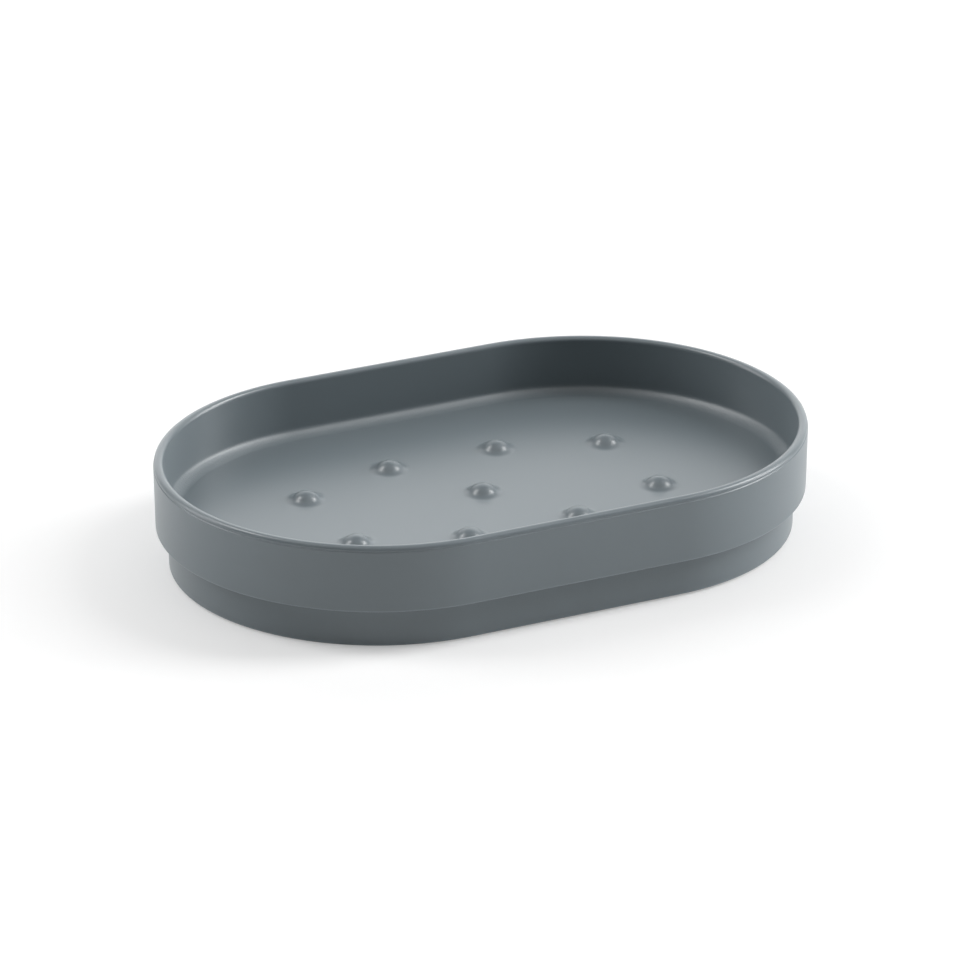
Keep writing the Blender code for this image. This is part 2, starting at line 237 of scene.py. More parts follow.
class StudioSizes(bpy.types.PropertyGroup):
    """Where the camera and the soft lights stand, and how bright they are."""

    camera_azimuth: angle("Camera azimuth", "Angle from the dish's front", -25.705)
    camera_elevation: angle("Camera elevation", "Angle above the shelf", 23.302)
    camera_roll: angle("Camera roll", "Turn about the view", -0.046)
    camera_distance: length("Camera distance", "Lens to the point aimed at", 1.28786)
    aim_x: length("Aim along", "Point aimed at, along the dish", 0.01255)
    aim_y: length("Aim across", "Point aimed at, across the dish", 0.02746)
    focal_length: number("Focal length", "In millimetres", 235.51)
    sensor_width: number("Sensor width", "In millimetres", 36)
    nearest: length("Nearest", "Nearest thing that the camera sees", 0.01)
    farthest: length("Farthest", "Farthest thing that the camera sees", 100)
    floor_size: length("Floor size", "Side of the floor", 12.0)
    floor_share: number("Floor share", "Share of the floor's white that takes a shadow", 0.63)
    floor_tone: number("Floor tone", "Share of its light that the floor throws back at the dish", 0.80)
    floor_roughness: number("Floor roughness", "Dullness of the floor", 0.9)
    floor_specular: number("Floor specular", "Strength of the floor's own reflection", 0.2)
    light_distance: length("Light distance", "Dish to the two softboxes", 3.0)
    right_azimuth: angle("Right softbox", "Angle from the camera", 102.5)
    right_half_angle: angle("Right half angle", "Half the angle it fills", 12)
    right_top: angle("Right top", "Elevation of its top", 58)
    right_level: number("Right level", "Brightness", 8.8)
    right_tube: angle("Right tube", "Elevation of its hot middle", 40)
    right_tube_level: number("Right tube level", "Brightness of its hot middle", 36.0)
    left_azimuth: angle("Left softbox", "Angle from the camera", -102.5)
    left_half_angle: angle("Left half angle", "Half the angle it fills", 13)
    left_top: angle("Left top", "Elevation of its top", 62)
    left_level: number("Left level", "Brightness", 4.2)
    left_tube: angle("Left tube", "Elevation of its hot middle", 53)
    left_tube_level: number("Left tube level", "Brightness of its hot middle", 36.0)
    tube_half_angle: angle("Tube half angle", "Half the angle that a hot middle fills", 5)
    back_half_angle: angle("Back half angle", "Half the angle of the backdrop", 38)
    back_top: angle("Back top", "Elevation of the backdrop's top", 44)
    back_soft: angle("Back edge", "Softness of the backdrop's edge", 8)
    back_level: number("Back level", "Brightness", 1.84)
    overhead_bottom: angle("Overhead bottom", "Elevation from which it glows", 48)
    overhead_level: number("Overhead level", "Brightness", 0.88)


class FrameSizes:
    """Levels and radii that follow from the sizes in the sidebar."""

    def __init__(self, scene):
        self.dish = scene.soap_dish_sizes
        self.stud = scene.soap_dish_studs
        self.under = scene.soap_dish_underside
        self.foot = scene.soap_dish_feet
        dish, under, foot = self.dish, self.under, self.foot
        self.end_radius = dish.width / 2
        self.half_straight = (dish.length - dish.width) / 2
        self.floor_top = dish.rim_level - dish.tray_depth
        self.floor_under = self.floor_top - dish.floor_wall
        self.cove_corner = self.floor_top + dish.cove_rise
        self.step_level = self.floor_top - dish.step_drop
        self.wall_low_inset = dish.rim_wall + dish.inner_draft
        self.cove_corner_inset = self.wall_low_inset + dish.cove_width
        half_slope = math.atan2(dish.cove_rise, dish.cove_width) / 2
        self.floor_edge_inset = self.cove_corner_inset + dish.cove_foot_radius * math.tan(half_slope)
        self.skirt_inner_inset = dish.step_inset + dish.skirt_wall
        self.socket_radius = foot.ring_radius + under.seat_gap
        self.boss_end = foot.pad_height + under.seat_gap
        self.boss_radius = self.socket_radius + under.boss_wall
        self.boss_root_radius = self.boss_radius + under.boss_draft
        room = self.end_radius - self.skirt_inner_inset - under.boss_to_skirt
        self.boss_reach = room - self.boss_root_radius
        self.boss_x = self.half_straight + self.boss_reach * math.cos(under.boss_angle)
        self.boss_y = self.boss_reach * math.sin(under.boss_angle)
        self.stem_top = self.floor_under - under.socket_end_gap
        self.root_level = self.floor_under + dish.floor_wall / 2

    def foot_places(self):
        """Middle of each foot, taken from the frame's own feet."""
        places = {}
        for node in FOOT_NODES:
            low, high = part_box(node)
            places[node] = ((low[0] + high[0]) / 2, (low[1] + high[1]) / 2)
        return places


def rounded_outline(corners, steps):
    """Replace each corner (across, up, radius) of an open outline by an arc.

    At a square corner, a pair of lengths in place of the radius gives an elliptic arc that starts
    and ends so far from it.
    """
    points = []
    last = len(corners) - 1
    for index, (across, up, radius) in enumerate(corners):
        here = Vector((across, up))
        if index in (0, last) or not radius:
            points.append(here)
            continue
        before = (Vector(corners[index - 1][:2]) - here).normalized()
        after = (Vector(corners[index + 1][:2]) - here).normalized()
        if isinstance(radius, tuple):
            for step in range(steps + 1):
                swing = math.pi / 2 * step / steps
                inward = before * radius[0] * (1 - math.sin(swing))
                points.append(here + inward + after * radius[1] * (1 - math.cos(swing)))
            continue
        half_angle = before.angle(after) / 2
        reach = radius / math.tan(half_angle)
        centre = here + (before + after).normalized() * (radius / math.sin(half_angle))
        start = here + before * reach - centre
        end = here + after * reach - centre
        turn = math.atan2(start.x * end.y - start.y * end.x, start.dot(end))
        for step in range(steps + 1):
            points.append(centre + Matrix.Rotation(turn * step / steps, 2) @ start)
    return points


def add_chain(shape, points, place=(0, 0)):
    """Draw an open chain of edges in the XZ plane beside a place on the floor."""
    corners = [shape.verts.new((place[0] + point[0], place[1], point[1])) for point in points]
    edges = [shape.edges.new(pair) for pair in zip(corners, corners[1:])]
    return corners + edges


def turn_outline(shape, points, steps, place):
    """Spin an outline, given as radius and height, a full turn about an upright axis."""
    bmesh.ops.spin(
        shape,
        geom=add_chain(shape, points, place),
        cent=(place[0], place[1], 0),
        axis=(0, 0, 1),
        angle=math.tau,
        steps=steps,
        use_merge=True,
    )


def merge(shape):
    """Make doubled points one."""
    bmesh.ops.remove_doubles(shape, verts=shape.verts, dist=MERGE_DISTANCE)


def new_object(name, shape):
    """Put a bmesh into the scene as an object whose faces point out."""
    bmesh.ops.recalc_face_normals(shape, faces=shape.faces)
    mesh = bpy.data.meshes.new(name)
    shape.to_mesh(mesh)
    shape.free()
    thing = bpy.data.objects.new(name, mesh)
    bpy.context.scene.collection.objects.link(thing)
    return thing


def shade(thing):
    """Smooth shading with true edges kept, and flat faces that stay flat."""
    thing.data.shade_smooth()
    thing.data.set_sharp_from_angle(angle=SHARP_ANGLE)
    modifier = thing.modifiers.new("even_normals", "WEIGHTED_NORMAL")
    modifier.keep_sharp = True
    modifier.weight = FLAT_FACE_WEIGHT


def combine(body, tools):
    """Join each tool to the body or cut it away, one after another, and drop the tools."""
    for tool, operation in tools:
        modifier = body.modifiers.new(tool.name, "BOOLEAN")
        modifier.operation = operation
        modifier.solver = "EXACT"
        modifier.object = tool
    graph = bpy.context.evaluated_depsgraph_get()
    done = bpy.data.meshes.new_from_object(body.evaluated_get(graph), depsgraph=graph)
    body.modifiers.clear()
    body.data = done
    for tool, _ in tools:
        bpy.data.objects.remove(tool, do_unlink=True)


def wall_section(sizes):
    """The wall's section from the tray's floor over the rim to the underside, as inset and height."""
    dish = sizes.dish
    parting_level = dish.rim_level - dish.parting_drop
    return rounded_outline(
        (
            (sizes.floor_edge_inset + OVERLAP, sizes.floor_top, 0),
            (sizes.cove_corner_inset, sizes.floor_top, dish.cove_foot_radius),
            (sizes.wall_low_inset, sizes.cove_corner, dish.cove_radius),
            (dish.rim_wall, dish.rim_level, dish.rim_inner_radius),
            (dish.parting_step, dish.rim_level, (dish.crown_width, dish.crown_height)),
            (dish.parting_step, parting_level + 2 * dish.parting_height, 0),
            (dish.parting_step + dish.parting_groove, parting_level + dish.parting_height, 0),
            (0, parting_level, dish.parting_height / 4),
            (dish.band_draft, sizes.step_level, dish.step_edge_radius),
            (dish.step_inset, sizes.step_level, dish.step_corner_radius),
            (dish.step_inset + dish.skirt_draft, dish.stand_off, dish.skirt_edge_radius),
            (sizes.skirt_inner_inset - dish.skirt_draft, dish.stand_off, dish.skirt_edge_radius),
            (sizes.skirt_inner_inset, sizes.floor_under, dish.underside_fillet),
            (sizes.skirt_inner_inset + dish.underside_fillet + OVERLAP, sizes.floor_under, 0),
        ),
        dish.corner_steps,
    )


def sweep_wall(shape, sizes):
    """Carry the wall's section round the stadium outline."""
    points = [(sizes.end_radius - inset, level) for inset, level in wall_section(sizes)]
    front = add_chain(shape, points)
    corners = [part for part in front if isinstance(part, bmesh.types.BMVert)]
    bmesh.ops.transform(shape, matrix=Matrix.Rotation(-math.pi / 2, 4, "Z"), verts=corners)
    bmesh.ops.translate(shape, verts=corners, vec=(sizes.half_straight, 0, 0))
    for side in (1, -1):
        end = bmesh.ops.spin(
            shape,
            geom=front,
            cent=(side * sizes.half_straight, 0, 0),
            axis=(0, 0, 1),
            angle=math.pi,
            steps=sizes.dish.end_steps,
        )["geom_last"]
        end_edges = [part for part in end if isinstance(part, bmesh.types.BMEdge)]
        straight = bmesh.ops.extrude_edge_only(shape, edges=end_edges)["geom"]
        front = [part for part in straight if not isinstance(part, bmesh.types.BMFace)]
        moved = [part for part in straight if isinstance(part, bmesh.types.BMVert)]
        bmesh.ops.translate(shape, verts=moved, vec=(-2 * side * sizes.half_straight, 0, 0))
    merge(shape)


def stud_outline(sizes):
    """A dome that runs through a fillet into a flat ring of floor, as radius and height."""
    stud = sizes.stud
    dome_centre = stud.height - stud.dome_radius
    reach = stud.dome_radius + stud.fillet_radius
    foot_radius = math.sqrt(reach**2 - (stud.fillet_radius - dome_centre) ** 2)
    join = math.atan2(foot_radius, stud.fillet_radius - dome_centre)
    points = []
    for ring in range(stud.dome_rings + 1):
        swing = join * ring / stud.dome_rings
        level = dome_centre + stud.dome_radius * math.cos(swing)
        points.append((stud.dome_radius * math.sin(swing), sizes.floor_top + level))
    for ring in range(1, stud.fillet_rings + 1):
        swing = join * (1 - ring / stud.fillet_rings)
        level = stud.fillet_radius * (1 - math.cos(swing))
        points.append((foot_radius - stud.fillet_radius * math.sin(swing), sizes.floor_top + level))
    points.append((foot_radius + stud.skirt_margin, sizes.floor_top))
    return points


def add_studs(shape, sizes):
    """Turn the nine studs in their places."""
    inset = sizes.wall_low_inset + sizes.stud.field_inset
    half_length = sizes.dish.length / 2 - inset
    half_width = sizes.dish.width / 2 - inset
    outline = stud_outline(sizes)
    for along, across in STUD_PLACE_SHARES:
        turn_outline(shape, outline, sizes.stud.steps, (half_length * along, half_width * across))
    merge(shape)


def close_floor(shape, sizes):
    """Lay the tray's floor between the wall and the studs, then close the underside."""
    middle = (sizes.floor_top + sizes.floor_under) / 2
    rims = [edge for edge in shape.edges if edge.is_boundary]
    upper = [edge for edge in rims if edge.verts[0].co.z > middle]
    lower = [edge for edge in rims if edge.verts[0].co.z < middle]
    bmesh.ops.triangle_fill(shape, edges=upper, use_beauty=True, normal=(0, 0, 1))
    bmesh.ops.holes_fill(shape, edges=lower, sides=0)


def bar(along, thickness, low, high, radius):
    """A rib or web along X, centred on the Z axis, with its two lower edges rounded."""
    middle = (high + low) / 2
    shape = bmesh.new()
    bmesh.ops.create_cube(shape, size=1)
    bmesh.ops.scale(shape, verts=shape.verts, vec=(along, thickness, high - low))
    bmesh.ops.translate(shape, verts=shape.verts, vec=(0, 0, middle))
    lower = [
        edge
        for edge in shape.edges
        if max(corner.co.z for corner in edge.verts) < middle
        and abs(edge.verts[0].co.y - edge.verts[1].co.y) < thickness / 2
    ]
    bmesh.ops.bevel(
        shape,
        geom=lower,
        offset=radius,
        segments=RIB_EDGE_STEPS,
        profile=0.5,
        affect="EDGES",
        material=-1,
    )
    return shape


def turn_and_move(shape, heading, move):
    """Turn a shape about the Z axis, then move it."""
    turn = Matrix.Rotation(heading, 3, "Z")
    bmesh.ops.rotate(shape, verts=shape.verts, cent=(0, 0, 0), matrix=turn)
    bmesh.ops.translate(shape, verts=shape.verts, vec=move)


def underside_tools(sizes):
    """The bosses, ribs and webs that are joined under the floor, and the sockets cut into the bosses."""
    under = sizes.under
    tools = []
    boss = rounded_outline(
        (
            (0, sizes.boss_end, 0),
            (sizes.boss_radius, sizes.boss_end, under.boss_edge_radius),
            (sizes.boss_root_radius, sizes.floor_under, under.boss_fillet),
            (sizes.boss_root_radius + under.boss_fillet, sizes.floor_under + MERGE_DISTANCE, 0),
        ),
        sizes.dish.corner_steps,
    )
    boss += [Vector((boss[-1].x, sizes.root_level)), Vector((0, sizes.root_level))]
    bosses = bmesh.new()
    for place in sizes.foot_places().values():
        turn_outline(bosses, boss, under.steps, place)
    merge(bosses)
    tools.append((new_object("boss_tool", bosses), "UNION"))
    rib_low = sizes.floor_under - under.rib_drop
    rib = (under.rib_thickness, rib_low, sizes.root_level, under.rib_edge_radius)
    for side in (-1, 1):
        along = bar(2 * sizes.boss_x, *rib)
        bmesh.ops.translate(along, verts=along.verts, vec=(0, side * sizes.boss_y, 0))
        tools.append((new_object("rib_tool", along), "UNION"))
        across = bar(2 * sizes.boss_y, *rib)
        turn_and_move(across, math.pi / 2, (side * sizes.boss_x, 0, 0))
        tools.append((new_object("rib_tool", across), "UNION"))
    skirt_middle = sizes.end_radius - sizes.skirt_inner_inset + sizes.dish.skirt_wall / 2
    web_low = sizes.boss_end + under.web_recess
    web_length = skirt_middle - sizes.boss_reach
    web_middle = (skirt_middle + sizes.boss_reach) / 2
    for along in (-1, 1):
        for across in (-1, 1):
            web = bar(
                web_length, under.web_thickness, web_low, sizes.root_level, under.rib_edge_radius
            )
            bmesh.ops.translate(web, verts=web.verts, vec=(web_middle, 0, 0))
            heading = math.atan2(across * math.sin(under.boss_angle), along * math.cos(under.boss_angle))
            turn_and_move(web, heading, (along * sizes.half_straight, 0, 0))
            tools.append((new_object("web_tool", web), "UNION"))
    socket = (
        (0, sizes.floor_under),
        (sizes.socket_radius, sizes.floor_under),
        (sizes.socket_radius, sizes.boss_end - OVERLAP),
        (0, sizes.boss_end - OVERLAP),
    )
    sockets = bmesh.new()
    for place in sizes.foot_places().values():
        turn_outline(sockets, socket, under.steps, place)
    merge(sockets)
    tools.append((new_object("socket_tool", sockets), "DIFFERENCE"))
    return tools


def foot_outline(sizes):
    """A flat pad with a soft edge, and a stem with two holding rings and a tapered tip."""
    foot = sizes.foot
    stem = sizes.stem_top - foot.pad_height
    ring_widest = foot.ring_height / 4
    ring_edge = foot.ring_height / 10
    stem_edge = foot.ring_height / 4
    corners = [
        (0, 0, 0),
        (foot.pad_radius, 0, foot.edge_radius),
        (foot.pad_radius, foot.pad_height, foot.edge_radius / 2),
        (foot.stem_radius, foot.pad_height, 0),
    ]
    for share in (foot.lower_ring_share, foot.upper_ring_share):
        level = foot.pad_height + stem * share - foot.ring_height / 2
        corners.append((foot.stem_radius, level, 0))
        corners.append((foot.ring_radius, level + ring_widest, ring_edge))
        corners.append((foot.stem_radius, level + foot.ring_height, 0))
    corners.append((foot.stem_radius, sizes.stem_top - foot.tip_height, stem_edge))
    corners.append((foot.tip_radius, sizes.stem_top, stem_edge))
    corners.append((0, sizes.stem_top, 0))
    return rounded_outline(corners, sizes.dish.corner_steps)


class Graph:
    """Short words for placing and joining shader nodes."""

    def __init__(self, tree):
        self.tree = tree

    def node(self, kind, **settings):
        """Add a node and set its properties."""
        node = self.tree.nodes.new(kind)
        for key, value in settings.items():
            setattr(node, key, value)
        return node

    def put(self, socket, value):
        """Join an output to a socket, or set the socket's own value."""
        if isinstance(value, bpy.types.NodeSocket):
            self.tree.links.new(value, socket)
        else:
            socket.default_value = value

    def math(self, operation, first, second=0.0, clamp=False):
        """One sum on two numbers."""
        node = self.node("ShaderNodeMath", operation=operation, use_clamp=clamp)
        self.put(node.inputs[0], first)
        self.put(node.inputs[1], second)
        return node.outputs[0]

    def noise(self, vector, scale, detail=2.0, roughness=0.5):
        """A noise pattern at so many cells a metre."""
        node = self.node("ShaderNodeTexNoise")
        self.put(node.inputs["Vector"], vector)
        self.put(node.inputs["Scale"], scale)
        self.put(node.inputs["Detail"], detail)
        self.put(node.inputs["Roughness"], roughness)
        return node.outputs["Fac"]

    def spread(self, value, low, high, new_low, new_high, smooth=True):
        """Carry a range of values over to another range."""
        node = self.node("ShaderNodeMapRange")
        if smooth:
            node.interpolation_type = "SMOOTHSTEP"
        labels = ("Value", "From Min", "From Max", "To Min", "To Max")
        for label, given in zip(labels, (value, low, high, new_low, new_high)):
            self.put(node.inputs[label], given)
        return node.outputs["Result"]


def new_group(name, inputs, outputs):
    """An empty node group with named sockets."""
    tree = bpy.data.node_groups.new(name, "ShaderNodeTree")
    for label, kind, value in inputs:
        socket = tree.interface.new_socket(label, in_out="INPUT", socket_type=kind)
        if value is not None:
            socket.default_value = value
    for label, kind in outputs:
        tree.interface.new_socket(label, in_out="OUTPUT", socket_type=kind)
    graph = Graph(tree)
    return graph, graph.node("NodeGroupInput").outputs, graph.node("NodeGroupOutput").inputs


def mould_grain_group():
    """Spark-eroded mould grain: a height, a small change of tone and a small change of gloss."""
    graph, given, result = new_group(
        "mould_grain",
        (
            ("Vector", "NodeSocketVector", None),
            ("Grain", "NodeSocketFloat", 5000.0),
            ("Depth", "NodeSocketFloat", 1.0),
            ("Tone", "NodeSocketFloat", 0.03),
            ("Gloss", "NodeSocketFloat", 0.05),
        ),
        (
            ("Height", "NodeSocketFloat"),
            ("Tone", "NodeSocketFloat"),
            ("Gloss", "NodeSocketFloat"),
        ),
    )
    fine = graph.noise(given["Vector"], given["Grain"], detail=3.0, roughness=0.6)
    broad = graph.noise(given["Vector"], graph.math("MULTIPLY", given["Grain"], BROAD_GRAIN_SHARE))
    graph.put(result["Height"], graph.math("MULTIPLY", fine, given["Depth"]))
    speckle = graph.math("SUBTRACT", graph.math("ADD", fine, broad), 1.0)
    graph.put(result["Tone"], graph.math("MULTIPLY", speckle, given["Tone"]))
    even = graph.math("SUBTRACT", broad, 0.5)
    graph.put(result["Gloss"], graph.math("MULTIPLY", even, given["Gloss"]))
    return graph.tree


def toned(graph, base, change):
    """A base colour made lighter or darker by a small change."""
    node = graph.node("ShaderNodeHueSaturation")
    graph.put(node.inputs["Color"], (*base, 1.0))
    graph.put(node.inputs["Value"], graph.math("ADD", change, 1.0))
    return node.outputs["Color"]


def use_group(graph, group, **values):
    """Place a node group with its own values."""
    node = graph.node("ShaderNodeGroup")
    node.node_tree = group
    for key, value in values.items():
        graph.put(node.inputs[key], value)
    return node.outputs


def new_material(name):
    """A material with its Principled shader and a word for its nodes."""
    material = bpy.data.materials.new(name)
    material.use_nodes = True
    return material, Graph(material.node_tree), material.node_tree.nodes["Principled BSDF"]


def add_bump(graph, shader, height):
    """Turn a height in metres into bumps on the surface."""
    bump = graph.node("ShaderNodeBump")
    graph.put(bump.inputs["Height"], height)
    graph.put(bump.inputs["Distance"], 1.0)
    graph.put(bump.inputs["Strength"], 1.0)
    graph.put(shader.inputs["Normal"], bump.outputs["Normal"])


def cove_mask(graph, place, sizes):
    """One on the cove between wall and floor, and zero elsewhere."""
    dish = sizes.dish
    parts = graph.node("ShaderNodeSeparateXYZ")
    graph.put(parts.inputs[0], place)
    along = graph.math("ABSOLUTE", parts.outputs[0])
    past_straight = graph.math("MAXIMUM", graph.math("SUBTRACT", along, sizes.half_straight), 0.0)
    squares = graph.math(
        "ADD",
        graph.math("MULTIPLY", past_straight, past_straight),
        graph.math("MULTIPLY", parts.outputs[1], parts.outputs[1]),
    )
    inset = graph.math("SUBTRACT", sizes.end_radius, graph.math("SQRT", squares))
    past_wall = graph.spread(inset, 0.0, dish.rim_wall, 0.0, 1.0)
    before_floor = graph.spread(inset, sizes.cove_corner_inset, sizes.floor_edge_inset, 1.0, 0.0)
    below_wall = graph.spread(
        parts.outputs[2], sizes.cove_corner, sizes.cove_corner + dish.cove_radius, 1.0, 0.0
    )
    above_step = graph.spread(parts.outputs[2], sizes.floor_under, sizes.floor_top, 0.0, 1.0)
    sideways = graph.math("MULTIPLY", past_wall, before_floor)
    upright = graph.math("MULTIPLY", below_wall, above_step)
    return graph.math("MULTIPLY", sideways, upright)


def edge_masks(graph, place, sizes):
    """Two masks by height: the rim's rounding, and the lower edges of band and skirt, where a painted
    highlight lightens the colour.
    """
    dish = sizes.dish
    parts = graph.node("ShaderNodeSeparateXYZ")
    graph.put(parts.inputs[0], place)
    up = parts.outputs[2]
    parting = dish.rim_level - dish.parting_drop
    rim = graph.spread(up, parting, parting + 2 * dish.parting_height, 0.0, 1.0)
    # Painted highlight: thin lines along the band's and the skirt's lower edges, standing in for the
    # light that these rounded edges catch
    reach = dish.step_edge_radius
    band = graph.math(
        "MULTIPLY",
        graph.spread(up, sizes.step_level - reach / 8, sizes.step_level + reach / 8, 0.0, 1.0),
        graph.spread(up, sizes.step_level + reach / 2, sizes.step_level + 2 * reach, 1.0, 0.0),
    )
    skirt = graph.spread(up, dish.stand_off + reach, dish.stand_off + 3 * reach, 1.0, 0.0)
    return rim, graph.math("MAXIMUM", band, skirt)


def plastic_material(group, sizes, finish):
    """Satin through-coloured plastic: smooth on the walls, grained on the cove."""
    material, graph, shader = new_material("satin_grey_plastic")
    place = graph.node("ShaderNodeTexCoord").outputs["Object"]
    mask = cove_mask(graph, place, sizes)
    smooth = use_group(
        graph,
        group,
        Vector=place,
        Grain=finish.plastic_grain,
        Depth=finish.plastic_depth,
        Tone=finish.plastic_tone,
        Gloss=finish.plastic_gloss,
    )
    coarse = use_group(
        graph,
        group,
        Vector=place,
        Grain=finish.cove_grain,
        Depth=finish.cove_depth,
        Tone=finish.cove_tone,
    )
    rim, painted_highlight = edge_masks(graph, place, sizes)
    tone = graph.math("ADD", smooth["Tone"], graph.math("MULTIPLY", coarse["Tone"], mask))
    # Painted highlight: the colour is made lighter along the lower edges of band and skirt
    tone = graph.math("ADD", tone, graph.math("MULTIPLY", painted_highlight, finish.edge_highlight_paint))
    graph.put(shader.inputs["Base Color"], toned(graph, finish.plastic, tone))
    satin = graph.spread(mask, 0.0, 1.0, finish.plastic_roughness, finish.cove_roughness, smooth=False)
    satin = graph.spread(rim, 0.0, 1.0, satin, finish.rim_roughness, smooth=False)
    graph.put(shader.inputs["Roughness"], graph.math("ADD", smooth["Gloss"], satin, clamp=True))
    coarse_height = graph.math("MULTIPLY", coarse["Height"], mask)
    add_bump(graph, shader, graph.math("ADD", smooth["Height"], coarse_height))
    graph.put(shader.inputs["Coat Weight"], graph.math("MULTIPLY", mask, finish.cove_sheen))
    shader.inputs["Coat Roughness"].default_value = finish.cove_sheen_roughness
    shader.inputs["IOR"].default_value = finish.plastic_ior
    return material


def rubber_material(group, finish):
    """Dull soft plastic with a fine grain."""
    material, graph, shader = new_material("soft_foot_rubber")
    place = graph.node("ShaderNodeTexCoord").outputs["Object"]
    grain = use_group(
        graph,
        group,
        Vector=place,
        Grain=finish.rubber_grain,
        Depth=finish.rubber_depth,
        Tone=finish.rubber_tone,
        Gloss=finish.rubber_gloss,
    )
    graph.put(shader.inputs["Base Color"], toned(graph, finish.rubber, grain["Tone"]))
    gloss = graph.math("ADD", grain["Gloss"], finish.rubber_roughness, clamp=True)
    graph.put(shader.inputs["Roughness"], gloss)
    add_bump(graph, shader, grain["Height"])
    shader.inputs["IOR"].default_value = finish.rubber_ior
    return material


def grain_group():
    """The grain group, built the first time that it is asked for."""
    return bpy.data.node_groups.get("mould_grain") or mould_grain_group()


class SOAPDISH_OT_dish_body(bpy.types.Operator):
    """Model the moulded dish with its rim, band, skirt, cove, studs and underside"""

    bl_idname = "soap_dish.dish_body"
    bl_label = "Dish body"

    def execute(self, context):
        sizes = FrameSizes(context.scene)
        shape = bmesh.new()
        sweep_wall(shape, sizes)
        add_studs(shape, sizes)
        close_floor(shape, sizes)
        body = new_object("dish_moulding", shape)
        combine(body, underside_tools(sizes))
        shade(body)
        body.data.materials.clear()
        finish = context.scene.soap_dish_finish
        body.data.materials.append(plastic_material(grain_group(), sizes, finish))
        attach(body, "root")
        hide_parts("dish_body")
        return {"FINISHED"}


class SOAPDISH_OT_feet(bpy.types.Operator):
    """Model the four push-in feet"""

    bl_idname = "soap_dish.feet"
    bl_label = "Feet"

    def execute(self, context):
        sizes = FrameSizes(context.scene)
        material = rubber_material(grain_group(), context.scene.soap_dish_finish)
        outline = foot_outline(sizes)
        for node, place in sizes.foot_places().items():
            shape = bmesh.new()
            turn_outline(shape, outline, sizes.foot.steps, place)
            merge(shape)
            foot = new_object(node + "_soft", shape)
            shade(foot)
            foot.data.materials.append(material)
            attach(foot, "root")
            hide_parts(node)
        return {"FINISHED"}


def floor_material(studio):
    """A pale floor that the camera and reflections see as white, with the dish's soft shadow on it."""
    material, graph, shader = new_material("pale_floor")
    tone = studio.floor_tone
    shader.inputs["Base Color"].default_value = (tone, tone, tone, 1)
    shader.inputs["Roughness"].default_value = studio.floor_roughness
    shader.inputs["Specular IOR Level"].default_value = studio.floor_specular
    share = studio.floor_share
    seen = graph.node("ShaderNodeBsdfDiffuse")
    seen.inputs["Color"].default_value = (share, share, share, 1)
    glow = graph.node("ShaderNodeEmission")
    glow.inputs["Strength"].default_value = 1.0 - share
    both = graph.node("ShaderNodeAddShader")
    graph.put(both.inputs[0], seen.outputs[0])
    graph.put(both.inputs[1], glow.outputs[0])
    mix = graph.node("ShaderNodeMixShader")
    graph.put(mix.inputs[0], seen_ray(graph))
    graph.put(mix.inputs[1], shader.outputs[0])
    graph.put(mix.inputs[2], both.outputs[0])
    graph.put(material.node_tree.nodes["Material Output"].inputs["Surface"], mix.outputs[0])
    return material


def seen_ray(graph):
    """One for a ray from the camera, a reflection or a clear body, and zero for light that spreads."""
    path = graph.node("ShaderNodeLightPath").outputs
    seen = graph.math("MAXIMUM", path["Is Camera Ray"], path["Is Glossy Ray"])
    return graph.math("MAXIMUM", seen, path["Is Transmission Ray"])


def heading_vector(azimuth, elevation):
    """The direction at an azimuth from the dish's front and an elevation above the shelf."""
    flat = math.cos(elevation)
    return Vector((math.sin(azimuth) * flat, -math.cos(azimuth) * flat, math.sin(elevation)))


def studio_world(scene):
    """White to the camera, and to all else a bright backdrop and a soft light overhead."""
    studio = scene.soap_dish_studio
    world = bpy.data.worlds.new("studio")
    scene.world = world
    world.use_nodes = True
    graph = Graph(world.node_tree)
    light = world.node_tree.nodes["Background"]
    light.inputs["Color"].default_value = (1.0, 1.0, 1.0, 1)
    direction = graph.node("ShaderNodeTexCoord").outputs["Generated"]
    toward_back = graph.node("ShaderNodeVectorMath", operation="DOT_PRODUCT")
    graph.put(toward_back.inputs[0], direction)
    azimuth = studio.camera_azimuth
    graph.put(toward_back.inputs[1], heading_vector(azimuth + math.pi, 0))
    parts = graph.node("ShaderNodeSeparateXYZ")
    graph.put(parts.inputs[0], direction)
    rise = parts.outputs[2]
    flat = graph.math("SQRT", graph.math("SUBTRACT", 1.0, graph.math("MULTIPLY", rise, rise)))
    heading = graph.math("DIVIDE", toward_back.outputs["Value"], graph.math("MAXIMUM", flat, LEAST_FLAT))
    half, soft, top = studio.back_half_angle, studio.back_soft, studio.back_top
    across = graph.spread(heading, math.cos(half + soft), math.cos(half - soft), 0.0, 1.0)
    below = graph.spread(rise, math.sin(top - soft), math.sin(top + soft), 1.0, 0.0)
    drop = graph.math("MULTIPLY", graph.math("MULTIPLY", across, below), studio.back_level)
    bottom = studio.overhead_bottom
    level = studio.overhead_level
    above = graph.spread(rise, math.sin(bottom - soft), math.sin(bottom + soft), 0.0, level)
    overhead = graph.math("MULTIPLY", graph.math("SUBTRACT", 1.0, across), above)
    graph.put(light.inputs["Strength"], graph.math("ADD", drop, overhead))
    white = graph.node("ShaderNodeBackground")
    white.inputs["Color"].default_value = (1.0, 1.0, 1.0, 1)
    white.inputs["Strength"].default_value = 1.0
    mix = graph.node("ShaderNodeMixShader")
    graph.put(mix.inputs[0], graph.node("ShaderNodeLightPath").outputs["Is Camera Ray"])
    graph.put(mix.inputs[1], light.outputs[0])
    graph.put(mix.inputs[2], white.outputs[0])
    graph.put(world.node_tree.nodes["World Output"].inputs["Surface"], mix.outputs[0])


